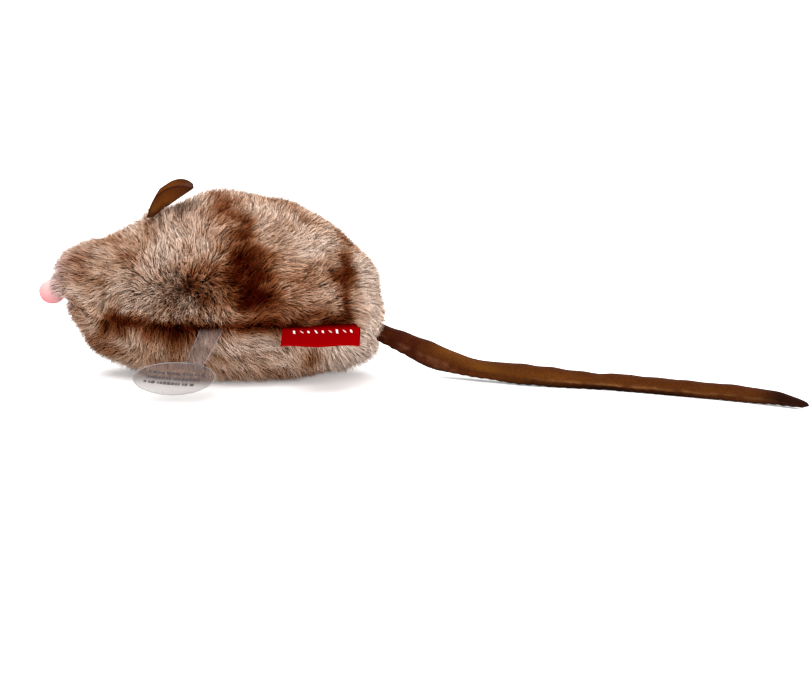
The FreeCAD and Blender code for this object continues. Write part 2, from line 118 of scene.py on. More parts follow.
def curve_through(rows, at):
    """Smooth curve through rows, read at each place in row units (0 .. len - 1)."""
    rows = np.asarray(rows, float)
    at = np.clip(np.asarray(at, float), 0, len(rows) - 1 - 1e-9)
    low = at.astype(int)
    part = (at - low)[..., None]
    slope = np.gradient(rows, axis=0)
    a, b = rows[low], rows[low + 1]
    p, q = slope[low], slope[low + 1]
    return (
        a * (2 * part**3 - 3 * part**2 + 1)
        + p * (part**3 - 2 * part**2 + part)
        + b * (3 * part**2 - 2 * part**3)
        + q * (part**3 - part**2)
    )


def seam_height(x):
    return np.interp(x, SEAM[:, 0], SEAM[:, 1])


def body_point(at, turn):
    """Point of the coat's surface: at runs along COAT's rows, turn goes round from the top
    (0) through the left side (pi / 2, towards -Y) to the belly (pi)."""
    row = curve_through(COAT, at)
    x, under, top, half = row[..., 0], row[..., 1], row[..., 2], row[..., 3]
    middle, tall = (under + top) / 2, (top - under) / 2
    return np.stack([x, -half * np.sin(turn), middle + tall * np.cos(turn)], axis=-1)


# ---- noise
def lattice(cells, seed):
    """Repeatable random number for each whole-number cell."""
    n = (
        cells[..., 0] * 374761393 + cells[..., 1] * 668265263
        + cells[..., 2] * 2147483647 + seed * 974711
    ).astype(np.int64)
    n = (n ^ (n >> 13)) * 1274126177
    n = n ^ (n >> 16)
    return (n & 0xFFFF) / 65535.0


def noise(points, scale, seed):
    """Smooth value noise, 0 to 1, with features about scale millimetres across."""
    p = np.asarray(points) / scale
    base = np.floor(p).astype(np.int64)
    f = p - base
    f = f * f * (3 - 2 * f)
    total = np.zeros(p.shape[:-1])
    for i in (0, 1):
        for j in (0, 1):
            for k in (0, 1):
                weight = (
                    np.where(i, f[..., 0], 1 - f[..., 0])
                    * np.where(j, f[..., 1], 1 - f[..., 1])
                    * np.where(k, f[..., 2], 1 - f[..., 2])
                )
                total += weight * lattice(base + np.array([i, j, k]), seed)
    return total


def unit(v):
    return v / np.maximum(np.linalg.norm(v, axis=-1, keepdims=True), 1e-9)


def spin(a, b, angle):
    """Two coordinates after a turn from the first axis towards the second."""
    c, s = np.cos(angle), np.sin(angle)
    return a * c - b * s, a * s + b * c


# ---- colours
def linear(r, g, b):
    """Display colour, 0 to 255, as the shader's linear colour."""
    c = np.array([r, g, b]) / 255
    return np.where(c <= 0.04045, c / 12.92, ((c + 0.055) / 1.055) ** 2.4)


FUR_STEPS = np.array([0.0, 0.28, 0.52, 0.78, 1.0])
FUR_COLOURS = np.array([
    linear(246, 219, 200),
    linear(218, 174, 144),
    linear(158, 98, 60),
    linear(104, 44, 17),
    linear(62, 9, 2),
])
PINK_DOWN = linear(255, 222, 216)
FUR_BASE = 0.34
FAR_SHIFT = (7.0, 3.0)  # how far the far side's patches are moved along and up

# listed shading of the coat's left side: x, z, reach along x, reach along z, depth
PATCHES = [
    (8.6, 32.0, 6.6, 6.4, 0.90),
    (10.5, 24.0, 4.4, 3.8, 0.60),
    (5.0, 42.0, 3.4, 6.5, 0.42),
    (1.0, 50.0, 4.0, 4.5, 0.36),
    (-6.0, 29.3, 3.8, 3.2, 0.42),
    (-2.0, 25.5, 8.5, 4.6, 0.22),
    (-38.0, 32.0, 7.0, 5.0, 0.26),
    # painted shadow of the seam, just above its crease on the snout side
    (-27.5, 18.2, 5.5, 2.8, 0.76),
    (-25.0, 35.2, 4.5, 1.6, 0.24),
    (-32.0, 12.5, 4.0, 4.0, 0.26),
    (-10.0, 12.5, 7.0, 4.0, 0.24),
    (34.2, 32.0, 2.8, 8.5, 0.66),
    (35.0, 22.5, 3.0, 4.5, 0.55),
    (24.3, 7.4, 4.2, 3.4, 0.50),
    (4.0, 7.5, 9.0, 4.0, 0.12),
    (42.0, 21.0, 4.2, 13.0, -0.46),
    (11.0, 46.0, 3.4, 3.4, -0.20),
    (21.0, 38.0, 9.0, 8.0, -0.14),
    (23.0, 27.0, 6.5, 5.5, 0.22),
    (-18.0, 39.0, 10.0, 4.5, -0.07),
    # lighter under the rump: the fur's cream tone, with painted light where the underside falls in shade
    (36.0, 9.0, 9.0, 5.0, -0.52),
    # painted shade of the seam above the label
    (27.0, 19.6, 9.0, 2.2, 0.34),
    (-38.0, 16.0, 3.5, 5.0, -0.15),
]


def fur_shade(points):
    """How dark the coat is at each point: 0 cream to 1 darkest brown, with painted shade in the crease along the
    seam.
    """
    x, y, z = points[:, 0], points[:, 1], points[:, 2]
    # the far side wears the same kind of patches, moved along so the sides don't mirror
    far = 1 / (1 + np.exp(-y / 2.0))
    shade = np.full(len(points), FUR_BASE)
    wander = np.stack([
        noise(points, 6.0, 11) - 0.5, np.zeros(len(points)), noise(points, 6.0, 12) - 0.5,
    ], -1) * 5.0
    px = x + FAR_SHIFT[0] * far + wander[:, 0]
    pz = z + FAR_SHIFT[1] * far + wander[:, 2]
    for centre_x, centre_z, reach_x, reach_z, depth in PATCHES:
        d = ((px - centre_x) / reach_x) ** 2 + ((pz - centre_z) / reach_z) ** 2
        shade += depth * np.exp(-d)
    shade += 0.30 * (noise(points, 8.0, 3) - 0.5)
    shade += 0.36 * (noise(points * np.array([0.7, 1, 1]), 2.8, 5) - 0.5)
    # painted shade: dark in the crease along the seam
    crease = bell(z, seam_height(x) + 0.6, 2.2)
    return shade + 0.62 * crease * rise(x, -30, -16) * rise(x, 40, 34)


def fur_colour(shade):
    shade = np.clip(shade, 0, 1)
    return np.stack([np.interp(shade, FUR_STEPS, FUR_COLOURS[:, c]) for c in range(3)], -1)


# ---- materials
def new_material(name, roughness=0.6, **values):
    """Principled material; values are the shader's own sockets."""
    material = bpy.data.materials.new(name)
    material.use_nodes = True
    shader = material.node_tree.nodes["Principled BSDF"]
    shader.inputs["Roughness"].default_value = roughness
    for socket, value in values.items():
        shader.inputs[socket.replace("_", " ")].default_value = value
    return material


def node_of(material, kind, **settings):
    node = material.node_tree.nodes.new(kind)
    for name, value in settings.items():
        if name in node.inputs:
            node.inputs[name].default_value = value
        else:
            setattr(node, name, value)
    return node


def wire(material, out, into):
    material.node_tree.links.new(out, into)


def shader_of(material):
    return material.node_tree.nodes["Principled BSDF"]


def ramp(material, factor, stops):
    """Colour ramp on factor; stops are (place, linear colour)."""
    node = node_of(material, "ShaderNodeValToRGB")
    elements = node.color_ramp.elements
    while len(elements) < len(stops):
        elements.new(0.5)
    for element, (place, colour) in zip(elements, stops):
        element.position = place
        element.color = (*colour, 1)
    wire(material, factor, node.inputs["Fac"])
    return node.outputs["Color"]


def object_noise(material, scale, detail=3.0, stretch=(1, 1, 1)):
    """Noise on the piece's own coordinates, scale in features per metre."""
    where = node_of(material, "ShaderNodeTexCoord")
    mapping = node_of(material, "ShaderNodeMapping")
    mapping.inputs["Scale"].default_value = stretch
    wire(material, where.outputs["Object"], mapping.inputs["Vector"])
    node = node_of(material, "ShaderNodeTexNoise", Scale=scale, Detail=detail)
    wire(material, mapping.outputs["Vector"], node.inputs["Vector"])
    return node.outputs["Fac"]


def bump(material, height, strength, distance):
    node = node_of(material, "ShaderNodeBump", Strength=strength, Distance=distance)
    wire(material, height, node.inputs["Height"])
    wire(material, node.outputs["Normal"], shader_of(material).inputs["Normal"])


def mottled(name, dark, light, scale, roughness, bump_size=0.0, stretch=(1, 1, 1), **values):
    """Material whose colour wanders between two tones, with matching relief."""
    material = new_material(name, roughness, **values)
    grain = object_noise(material, scale, 4.0, stretch)
    colour = ramp(material, grain, [(0.3, dark), (0.7, light)])
    wire(material, colour, shader_of(material).inputs["Base Color"])
    if bump_size:
        bump(material, grain, 0.6, bump_size * MM)
    return material


def attribute_material(name, attribute, roughness, **values):
    """Material that takes its colour from a colour attribute of the mesh."""
    material = new_material(name, roughness, **values)
    reader = node_of(material, "ShaderNodeAttribute", attribute_name=attribute)
    wire(material, reader.outputs["Color"], shader_of(material).inputs["Base Color"])
    return material


# ---- meshes
def add_object(name, data):
    """Object for a mesh, light or camera, linked into the scene."""
    thing = bpy.data.objects.new(name, data)
    bpy.context.scene.collection.objects.link(thing)
    return thing


def mesh_piece(name, verts, faces, material=None, smooth=True):
    """Mesh object from millimetre points."""
    mesh = bpy.data.meshes.new(name)
    mesh.from_pydata((np.asarray(verts) * MM).tolist(), [], [list(map(int, f)) for f in faces])
    mesh.update()
    if smooth:
        mesh.polygons.foreach_set("use_smooth", [True] * len(mesh.polygons))
    piece = add_object(name, mesh)
    if material:
        mesh.materials.append(material)
    return piece


def grid_faces(rows, columns, closed_rows=False, closed_columns=False):
    """Quads of a grid of points laid out row by row."""
    faces = []
    for r in range(rows if closed_rows else rows - 1):
        for c in range(columns if closed_columns else columns - 1):
            a = r * columns + c
            b = r * columns + (c + 1) % columns
            d = ((r + 1) % rows) * columns + c
            e = ((r + 1) % rows) * columns + (c + 1) % columns
            faces.append((a, b, e, d))
    return faces


def set_colours(piece, name, colours):
    """Point colour attribute from linear colours."""
    layer = piece.data.color_attributes.new(name, "FLOAT_COLOR", "POINT")
    rgba = np.ones((len(colours), 4), np.float32)
    rgba[:, :3] = np.clip(colours, 0, 1)
    layer.data.foreach_set("color", rgba.ravel())


# ---- coat
PILE = 4.9
SPINE_SHARE = 0.86  # the pile points away from a spine this share of the body's length
SEAM_PULL = 0.03
ROWS = len(COAT) - 1


def spine_point(at, share):
    """Middle of the body at each row, drawn in lengthwise to a share of its length."""
    row = curve_through(COAT, at)
    return np.stack(
        [row[..., 0] * share, np.zeros(row.shape[:-1]), (row[..., 1] + row[..., 2]) / 2], -1,
    )


def coat_inset(at, turn):
    """Backing cloth under each point of the coat."""
    outer = body_point(at, turn)
    away = outer - spine_point(at, SPINE_SHARE)
    reach = np.linalg.norm(away, axis=-1, keepdims=True)
    depth = np.minimum(PILE, 0.55 * reach)
    return outer - away / np.maximum(reach, 1e-6) * depth


def panel_of(points):
    """0 left side, 1 right side, 2 belly."""
    upper = points[..., 2] > seam_height(points[..., 0])
    return np.where(upper, np.where(points[..., 1] < 0, 0, 1), 2)


PANELS = ["coat_side_left", "coat_side_right", "coat_belly"]
BACKING = mottled(
    "backing_cloth", linear(120, 76, 56), linear(172, 132, 108), 900, 0.95, 0.15,
)


def make_backing():
    """The three panels of backing cloth that the fur grows from."""
    lengthwise, around = 90, 96
    at = np.linspace(0.0, ROWS, lengthwise)
    turn = np.linspace(0, 2 * math.pi, around, endpoint=False)
    grid_at, grid_turn = np.meshgrid(at, turn, indexing="ij")
    points = coat_inset(grid_at, grid_turn)
    points[..., 2] = np.maximum(points[..., 2], 1.2)
    points[..., 1] *= 1 - SEAM_PULL * bell(points[..., 2], seam_height(points[..., 0]), 2.0)
    flat = points.reshape(-1, 3)
    faces = grid_faces(lengthwise, around, closed_columns=True)
    middles = np.array([flat[list(f)].mean(axis=0) for f in faces])
    owner = panel_of(middles)
    for number, panel in enumerate(PANELS):
        chosen = [faces[i] for i in np.flatnonzero(owner == number)]
        used = sorted({v for f in chosen for v in f})
        index = {v: i for i, v in enumerate(used)}
        piece = mesh_piece(
            "backing_" + panel[5:], flat[used], [[index[v] for v in f] for f in chosen], BACKING,
        )
        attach(piece, "mouse")
        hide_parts(panel)


RINGS = np.array([0.0, 0.4, 0.74, 1.0])
TUFT_SPACING = 2.6
COAT_AREA = 13500  # square millimetres, about
WHORL = (-10.0, 26.0)  # x and z of the place that the hair is combed away from
SWEEP = 3.3
SWEEP_FADE = 18
SWEEP_LEAST = 0.38


def coat_spots(count):
    """Even random places on the coat as (at, turn), by area."""
    at = rng.uniform(0.15, ROWS - 0.1, count * 3)
    turn = rng.uniform(0, 2 * math.pi, count * 3)
    step = 0.02
    here = body_point(at, turn)
    along = (body_point(at + step, turn) - here) / step
    round_ = (body_point(at, turn + step) - here) / step
    area = np.linalg.norm(np.cross(along, round_), axis=-1)
    keep = rng.uniform(0, np.quantile(area, 0.995), len(at)) < area
    return at[keep][:count], turn[keep][:count]


def coat_normal(at, turn):
    step = 0.03
    along = body_point(at + step, turn) - body_point(at - step, turn)
    round_ = body_point(at, turn + step) - body_point(at, turn - step)
    n = unit(np.cross(along, round_))
    flip = np.sum(n * (body_point(at, turn) - spine_point(at, 0.8)), -1) < 0
    n[flip] *= -1
    return n


def fur_tips(at, turn, reach):
    """Where hairs end: just past the coat's line, swept away from a whorl on the flank."""
    outer = body_point(at, turn)
    n = coat_normal(at, turn)
    x, y, z = outer.T
    angle = 2.4 * (noise(outer, 9.0, 21) - 0.5)
    away_x, away_z = spin(x - WHORL[0], z - WHORL[1], angle)
    away = np.stack([away_x, 0.25 * y, away_z], -1)
    distance = np.linalg.norm(away, axis=-1, keepdims=True)
    comb = unit(away) * np.clip(distance / SWEEP_FADE, SWEEP_LEAST, 1)
    comb = comb * SWEEP
    comb -= n * np.sum(comb * n, -1, keepdims=True)
    loft = 1.5 * (noise(outer, 6.5, 23) - 0.5) + 0.9 * (noise(outer, 3.0, 24) - 0.5)
    # fuller under the rump, under the chin, on the upper lip, on the rump's top, over the
    # label and round the ears
    loft += 2.0 * rise(x, 24, 34) * rise(z, 15, 9)
    loft += 1.3 * rise(x, -24, -32) * rise(z, 16, 10)
    loft += 1.2 * rise(x, -40, -44) * rise(z, 24, 27)
    loft += 0.8 * rise(x, 26, 36) * rise(z, 24, 30)
    over_label = rise(x, 25, 33) * rise(x, 41, 36) * bell(z, 19, 4.5) * (y < 0)
    loft += 3.0 * over_label
    for _, hinge, _ in EARS:
        place = joint_place(hinge)
        rel = outer - place * np.array([1.0, 1.4, 1.0]) + np.array([-4.4, 0.0, 1.0])
        rel[:, 0] *= 1.3
        loft += 3.6 * np.exp(-np.sum(rel**2, -1) / 4.4**2)
    tips = outer + n * (reach + loft)[:, None] + comb
    # the fur parts at the seam and dips into it, less so beside the label
    gap = z - seam_height(x)
    side = np.sqrt(np.clip(1 - n[:, 2] ** 2, 0, 1))
    near = np.exp(-np.abs(gap) / 3.0) * side * np.where((y < 0) & (x > 17), 0.45, 1.0)
    tips[:, 2] += np.sign(gap) * 1.8 * near
    tips -= n * (2.6 * near)[:, None]
    tips[:, 2] -= 1.2 * over_label * (gap > 0)
    return tips, n


def fur_curves(count):
    """Root, bend and tip of every hair, with its normal, shade and panel."""
    at, turn = coat_spots(count)
    clump_at, clump_turn = coat_spots(int(COAT_AREA / TUFT_SPACING**2 * 1.3))
    clump_root = body_point(clump_at, clump_turn)
    clump_tip, clump_n = fur_tips(clump_at, clump_turn, rng.normal(0.5, 0.45, len(clump_at)))
    lean = rng.normal(0, 1.0, clump_tip.shape)
    lean -= clump_n * np.sum(lean * clump_n, -1, keepdims=True)
    clump_tip = clump_tip + lean * 0.9
    tree = KDTree(len(clump_root))
    for i, point in enumerate(clump_root):
        tree.insert(Vector(point), i)
    tree.balance()
    outer = body_point(at, turn)
    near = [tree.find_n(Vector(point), 2) for point in outer]
    first = np.array([pair[0][1] for pair in near])
    second = np.array([pair[1][1] for pair in near])
    close = np.array([[pair[0][2], pair[1][2]] for pair in near])
    share = 0.5 + 0.5 * (close[:, 1] - close[:, 0]) / (close[:, 1] + close[:, 0] + 1e-6)
    share = share[:, None]
    centre_tip = clump_tip[first] * share + clump_tip[second] * (1 - share)
    centre_root = clump_root[first] * share + clump_root[second] * (1 - share)

    reach = rng.normal(0.35, 0.5, len(at))
    tip, n = fur_tips(at, turn, reach)
    gather = rng.uniform(0.10, 0.55, len(at))[:, None]
    tip = tip * (1 - gather) + (centre_tip + n * (reach[:, None] - 0.5)) * gather
    tip += rng.normal(0, 0.38, tip.shape)
    root = coat_inset(at, turn)
    middle = root + (outer - root) * 0.80 + rng.normal(0, 0.45, tip.shape)
    middle += (centre_tip - centre_root) * 0.10

    # hairs that would go through the floor lie along it
    root[:, 2] = np.maximum(root[:, 2], 1.3)
    middle[:, 2] = np.maximum(middle[:, 2], 0.7)
    lying = np.maximum(0.9 - tip[:, 2], 0)
    tip[:, :2] += unit(n[:, :2] + 1e-6) * np.minimum(lying, 1.2)[:, None]
    tip[:, 2] = np.maximum(tip[:, 2], rng.uniform(0.15, 0.9, len(tip)))
    shade = fur_shade((outer + tip) / 2)
    shade += 0.10 * (rng.uniform(0, 1, len(clump_root))[first] - 0.5)
    shade += rng.normal(0, 0.055, len(at))
    return root, middle, tip, n, shade, panel_of(outer)


def make_fur_piece(name, node, root, middle, tip, n, shade, material):
    """One mesh of flat tapering hairs; each has its own cell of the OFBake map."""
    count = len(root)
    t = RINGS[None, :, None]
    line = root[:, None] * (1 - t) ** 2 + middle[:, None] * 2 * t * (1 - t) + tip[:, None] * t**2
    tangent = unit(np.gradient(line, axis=1))
    facing = unit(rng.normal(0, 1, (count, 3)) * 0.9 + n * 0.5)
    across = unit(np.cross(tangent, np.repeat(facing[:, None], len(RINGS), 1)))
    width = np.interp(RINGS, [0, 0.5, 1.0], HAIR_WIDTHS)[None, :, None]
    width = width * rng.uniform(0.7, 1.25, (count, 1, 1))
    left = line - across * width / 2
    right = line + across * width / 2
    rings = len(RINGS)
    verts = np.stack([left, right], axis=2).reshape(-1, 3)
    per = rings * 2
    quad = np.array([[2 * k, 2 * k + 1, 2 * k + 3, 2 * k + 2] for k in range(rings - 1)])
    faces = (np.arange(count)[:, None, None] * per + quad[None]).reshape(-1, 4)

    mesh = bpy.data.meshes.new(name)
    mesh.vertices.add(len(verts))
    mesh.vertices.foreach_set("co", (verts * MM).astype(np.float32).ravel())
    mesh.loops.add(faces.size)
    mesh.loops.foreach_set("vertex_index", faces.astype(np.int32).ravel())
    mesh.polygons.add(len(faces))
    mesh.polygons.foreach_set("loop_start", np.arange(0, faces.size, 4, dtype=np.int32))
    mesh.polygons.foreach_set("use_smooth", np.ones(len(faces), bool))
    mesh.update()

    # colour: dark at the root as painted shade deep in the pile, the tone itself along the hair, paler at the tip
    # as painted light through the fine tips
    tone = shade[:, None] + np.interp(RINGS, [0, 0.45, 1], [0.16, 0.05, -0.17])[None, :]
    colours = fur_colour(tone.ravel()).reshape(count, rings, 1, 3)
    pink = line - (NOSE_CENTRE + np.array([0.5, 0, 2.6]))
    pink = np.exp(-np.sum(pink**2, -1) / 7.0**2)[..., None, None]
    pink = np.clip(1.8 * pink, 0, 1)
    colours = (colours * (1 - pink) + PINK_DOWN * pink).repeat(2, axis=2).reshape(-1, 3)

    # one small cell of the map for each hair
    side = math.ceil(math.sqrt(count))
    cell = np.arange(count)
    corner = np.stack([cell % side, cell // side], -1) / side
    local = np.array(
        [[(0.2 + 0.6 * edge) / side, (0.12 + 0.76 * k / (rings - 1)) / side]
         for k in range(rings) for edge in (0, 1)]
    )
    uv = (corner[:, None] + local[None]).reshape(-1, 2)
    layer = mesh.uv_layers.new(name="OFBake")
    layer.data.foreach_set("uv", uv[faces.ravel()].astype(np.float32).ravel())

    # soft pile: hairs take much of their light as the coat under them would
    facing_out = unit(n[:, None] * 1.0 + tangent * 0.25 + rng.normal(0, 0.18, (count, 1, 3)))
    normals = facing_out.repeat(2, axis=1).reshape(-1, 3)
    mesh.normals_split_custom_set_from_vertices(normals.tolist())

    piece = add_object(name, mesh)
    mesh.materials.append(material)
    set_colours(piece, "fur_tone", colours)
    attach(piece, "mouse")
    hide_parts(node)


EAR_LENGTH = 14.6
EAR_HALF_WIDTH = 6.2
EAR_CUP = 8.2
EAR_THICK = 1.3
EAR_SPLAY = 13
EAR_TURN = 15
EARS = [(-1, "ear_left_fold", 54), (1, "ear_right_fold", 56)]

HAIR_COUNT = 220000
HAIR_WIDTHS = [0.18, 0.145, 0.045]
PIECE_LIMIT = 30000


def make_fur():
    material = attribute_material("fur_hair", "fur_tone", 0.9, Specular_IOR_Level=0.0)
    root, middle, tip, n, shade, panel = fur_curves(HAIR_COUNT)
    blocked = nose_gap(tip)
    for gap in (tail_gap, label_gap, tab_gap):
        blocked |= gap(tip) | gap(middle)
    for side, hinge, lean in EARS:
        blocked |= ear_gap(tip, side, hinge, lean) | ear_gap((middle + tip) / 2, side, hinge, lean)
    for number, node in enumerate(PANELS):
        chosen = np.flatnonzero((panel == number) & ~blocked)
        parts = math.ceil(len(chosen) / PIECE_LIMIT)
        for part in range(parts):
            pick = chosen[part::parts]
            make_fur_piece(
                "fur_%s_%d" % (node[5:], part + 1), node,
                root[pick], middle[pick], tip[pick], n[pick], shade[pick], material,
            )


def ear_gap(points, side, hinge, lean):
    """Hairs here would touch the ear as it folds back."""
    lean, splay = math.radians(lean), math.radians(EAR_SPLAY) * -side
    x, y, z = (points - joint_place(hinge)).T
    x, z = spin(x, z, lean)
    y, z = spin(y, z, -splay)
    s = np.clip(z / EAR_LENGTH, 0, 1)
    turn = math.radians(EAR_TURN) * side * np.minimum(s / 0.45, 1) ** 1.5
    x, y = spin(x, y, -turn)
    under = x + y**2 / (2 * EAR_CUP) + s * (1 - s)
    half = np.interp(s, [0, 0.25, 1], [4.0, 6.9, 6.9])
    beside = (z > 1.2) & (z < EAR_LENGTH + 0.8) & (np.abs(y) < half)
    return beside & (under > -1.6) & (under < 1.0 + 0.1 * z)


def tail_gap(points):
    """Hairs here would run through the tail's root."""
    along = unit(joint_place("tail_swing") - np.array([37.0, 0.2, 14.6]))
    rel = points - joint_place("tail_swing")
    down = rel @ along
    off = np.linalg.norm(rel - down[:, None] * along, axis=-1)
    return (off < 2.9) & (down > -12)


NOSE_CENTRE = (np.array(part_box("nose_cap")[0]) + np.array(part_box("nose_cap")[1])) / 2 / MM
NOSE_RADIUS = (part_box("nose_cap")[1][1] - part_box("nose_cap")[0][1]) / 2 / MM


def nose_gap(points):
    """Hairs here would end inside the nose, or below its top."""
    inside = np.linalg.norm(points - NOSE_CENTRE, axis=-1) < NOSE_RADIUS * 1.28
    return inside & (points[:, 2] < NOSE_CENTRE[2] + 3.0)


LABEL_WIDTH = 21.4
LABEL_REACH = 10.0
LABEL_DROP = math.radians(13)
LABEL_SKEW = 0.22  # cut a little askew, so its ends hang straight out from the toy's side
LABEL_HALF = 0.34
DROOP = np.array([0, 0, 0.036])  # how far it hangs for each millimetre along it
DROOP_FROM = 3.0  # the droop grows from the sewn edge to this far out


def label_frame():
    """The label's corner, its line along the seam, its outward direction and its normal."""
    corner = joint_place("label_flap")
    along = np.array(JOINTS["label_flap"]["axis"])
    out = unit(np.cross(along, np.array([0, 0, 1.0])))
    out = out if out[1] < 0 else -out
    out = out * math.cos(LABEL_DROP) - np.array([0, 0, 1]) * math.sin(LABEL_DROP)
    normal = unit(np.cross(out, along))
    return corner, along, out - along * LABEL_SKEW, normal


def label_spot(a, o):
    """Middle of the label's thickness, a along the seam and o outwards."""
    corner, along, out, _ = label_frame()
    return corner + along * a + out * o - DROOP * a * min(o / DROOP_FROM, 1.0)


def label_gap(points):
    """Hairs here would run through the label, or lie over its face."""
    corner, along, out, normal = label_frame()
    rel = points - corner
    o, h = rel @ unit(out + along * LABEL_SKEW), rel @ normal
    a = rel @ along + o * LABEL_SKEW
    through = (np.abs(h) < 0.45) & (o > -0.6)
    over = (np.abs(h) < 1.4) & (o > 1.3)
    return (a > -0.3) & (a < LABEL_WIDTH + 0.3) & (through | over)


def tab_gap(points):
    """Hairs here would run through the pull tab's strip."""
    return (np.abs(points[:, 0] - TAB_X) < TAB_WIDTH / 2 + 0.3) & (points[:, 1] < -24.0) & (
        np.abs(points[:, 2] - TAB_Z) < 0.9
    )


# ---- nose
def make_nose():
    """Velour nose: a cushion with two small dents in front, paler above as painted light from above, and paler by
    the fur.
    """
    rings, around = 26, 40
    verts, tones = [], []
    for i in range(rings):
        v = math.pi * (i + 0.5) / rings
        for j in range(around):
            u = 2 * math.pi * j / around
            d = np.array([-math.cos(v), math.sin(v) * math.cos(u), math.sin(v) * math.sin(u)])
            r = NOSE_RADIUS * (1 + 0.05 * d[1] ** 2 - 0.07 * max(d[2], 0) ** 2)
            for side in (-1, 1):
                spot = unit(np.array([-0.86, side * 0.38, -0.2]))
                r -= 0.25 * math.exp(-((math.acos(max(-1, min(1, float(d @ spot)))) / 0.24) ** 2))
            verts.append(NOSE_CENTRE + d * r * np.array([1.0, 1.0, 0.92]))
            # painted light: the velour is paler on top; it is also paler towards the back, by the fur
            tones.append(min(max(0.5 + 0.55 * d[2] + 0.28 * d[0], 0), 1))
    for end in (-NOSE_RADIUS, NOSE_RADIUS):
        verts.append(NOSE_CENTRE + np.array([end, 0, 0]))
    tones += [0.25, 0.8]
    faces = grid_faces(rings, around, closed_columns=True)
    first, last, edge = rings * around, rings * around + 1, (rings - 1) * around
    for j in range(around):
        faces.append((first, (j + 1) % around, j))
        faces.append((last, edge + j, edge + (j + 1) % around))
    material = attribute_material(
        "nose_velour", "nose_tone", 0.9, Sheen_Weight=0.15, Sheen_Roughness=0.4,
        Specular_IOR_Level=0.05,
    )
    bump(material, object_noise(material, 2600, 4.0), 0.6, 0.10 * MM)
    piece = mesh_piece("nose_velour", verts, faces, material)
    tones = np.array(tones)[:, None]
    rosy, pale = linear(196, 116, 120), linear(214, 188, 184)
    set_colours(piece, "nose_tone", rosy * (1 - tones) + pale * tones)
    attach(piece, "mouse")
    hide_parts("nose_cap")


# ---- tail
# centre line of the tail from inside the coat to the tip, with its half width and height
TAIL = np.array([
    (37.5, 0.3, 14.4, 2.3, 2.3),
    (42.0, -0.1, 12.4, 2.5, 2.4),
    (46.0, -0.7, 10.6, 2.6, 2.5),
    (50.0, -1.6, 9.0, 2.7, 3.0),
    (57.8, -4.2, 5.9, 2.7, 3.6),
    (64.0, -6.8, 4.3, 2.9, 3.0),
    (70.3, -9.8, 3.3, 2.9, 2.5),
    (80.0, -14.2, 3.0, 3.0, 2.6),
    (86.9, -17.2, 2.85, 2.9, 2.6),
    (95.0, -19.6, 2.55, 2.6, 2.3),
    (103.0, -21.6, 2.35, 2.5, 2.0),
    (112.0, -24.9, 2.3, 2.5, 2.1),
    (118.0, -27.5, 2.3, 2.5, 2.15),
    (124.0, -30.2, 2.25, 2.4, 2.1),
    (133.0, -34.2, 2.2, 2.3, 2.05),
    (143.0, -39.2, 2.1, 2.1, 1.9),
    (150.0, -44.0, 1.85, 1.6, 1.5),
    (154.0, -47.3, 1.45, 0.9, 0.9),
    (155.2, -48.4, 1.3, 0.2, 0.2),
])
TAIL_RINGS = 260
TAIL_AROUND = 36
TAIL_SEAM = math.radians(-52)


def tail_grid():
    """Rings of the tail's skin with a rolled seam along its lower left edge."""
    at = np.linspace(0, len(TAIL) - 1, TAIL_RINGS)
    row = curve_through(TAIL, at)
    centre, wide, high = row[:, :3], row[:, 3], row[:, 4]
    tangent = unit(np.gradient(centre, axis=0))
    across = unit(np.cross(tangent, np.array([0, 0, 1.0])))
    up = np.cross(across, tangent)
    length = np.concatenate([[0], np.cumsum(np.linalg.norm(np.diff(centre, axis=0), axis=1))])
    turn = np.linspace(0, 2 * math.pi, TAIL_AROUND, endpoint=False)
    c, s = np.cos(turn), np.sin(turn)
    points = np.empty((TAIL_RINGS, TAIL_AROUND, 3))
    for i in range(TAIL_RINGS):
        twist = 0.25 * math.sin(length[i] / 17.0)
        off = np.angle(np.exp(1j * (turn - TAIL_SEAM - twist)))
        ridge = 0.62 * bell(off, 0, 0.20) - 0.34 * bell(np.abs(off), 0.45, 0.2)
        pucker = 0.10 * math.sin(length[i] * 2.3) * bell(off, 0, 0.7)
        spots = np.stack([np.full(TAIL_AROUND, length[i] / 2.2), 1.5 * c, 1.5 * s], -1)
        soft = 0.42 * (noise(spots, 1.9, 31) - 0.5)
        fade = min(1.0, high[i] / 1.6)
        radius = 1 + (ridge + pucker + soft) * fade / max(high[i], 0.6)
        points[i] = (
            centre[i]
            + np.outer(c * radius * wide[i], across[i])
            + np.outer(s * radius * high[i], up[i])
        )
    points[..., 2] = np.maximum(points[..., 2], 0.06)
    return centre, points, turn


def make_tail():
    """Three lengths of one suede tube."""
    centre, points, turn = tail_grid()
    tones = tail_tones(centre, points, turn)
    suede = suede_material("tail_suede")
    cuts = [
        ("tail_root_skin", 0.0, 62.0, "tail_swing", ("mouse", "tail_base_body"), ["tail_root"]),
        ("tail_middle_skin", 62.0, 99.0, "tail_lift", ("tail_base_body", "tail_mid_body"),
         ["tail_base"]),
        ("tail_end_skin", 99.0, 999.0, "tail_curl", ("tail_mid_body", "tail_tip_body"),
         ["tail_mid", "tail_tip"]),
    ]
    for name, low, high, hinge, bodies, nodes in cuts:
        rows = np.flatnonzero((centre[:, 0] >= low) & (centre[:, 0] <= high))
        if high < 900:
            rows = np.append(rows, rows[-1] + 1)
        grid = points[rows].reshape(-1, 3)
        faces = grid_faces(len(rows), TAIL_AROUND, closed_columns=True)
        if high > 900:
            faces.append(tuple((len(rows) - 1) * TAIL_AROUND + k for k in range(TAIL_AROUND)))
        piece = mesh_piece(name, grid, faces, suede)
        set_colours(piece, "suede_tone", tones[rows].reshape(-1, 3))
        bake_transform(piece)
        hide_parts(*nodes)


def blend_tone(colours, tone, share):
    """Mix a tone into an array of colours."""
    share = np.clip(share, 0, 1)[..., None]
    return colours * (1 - share) + tone * share


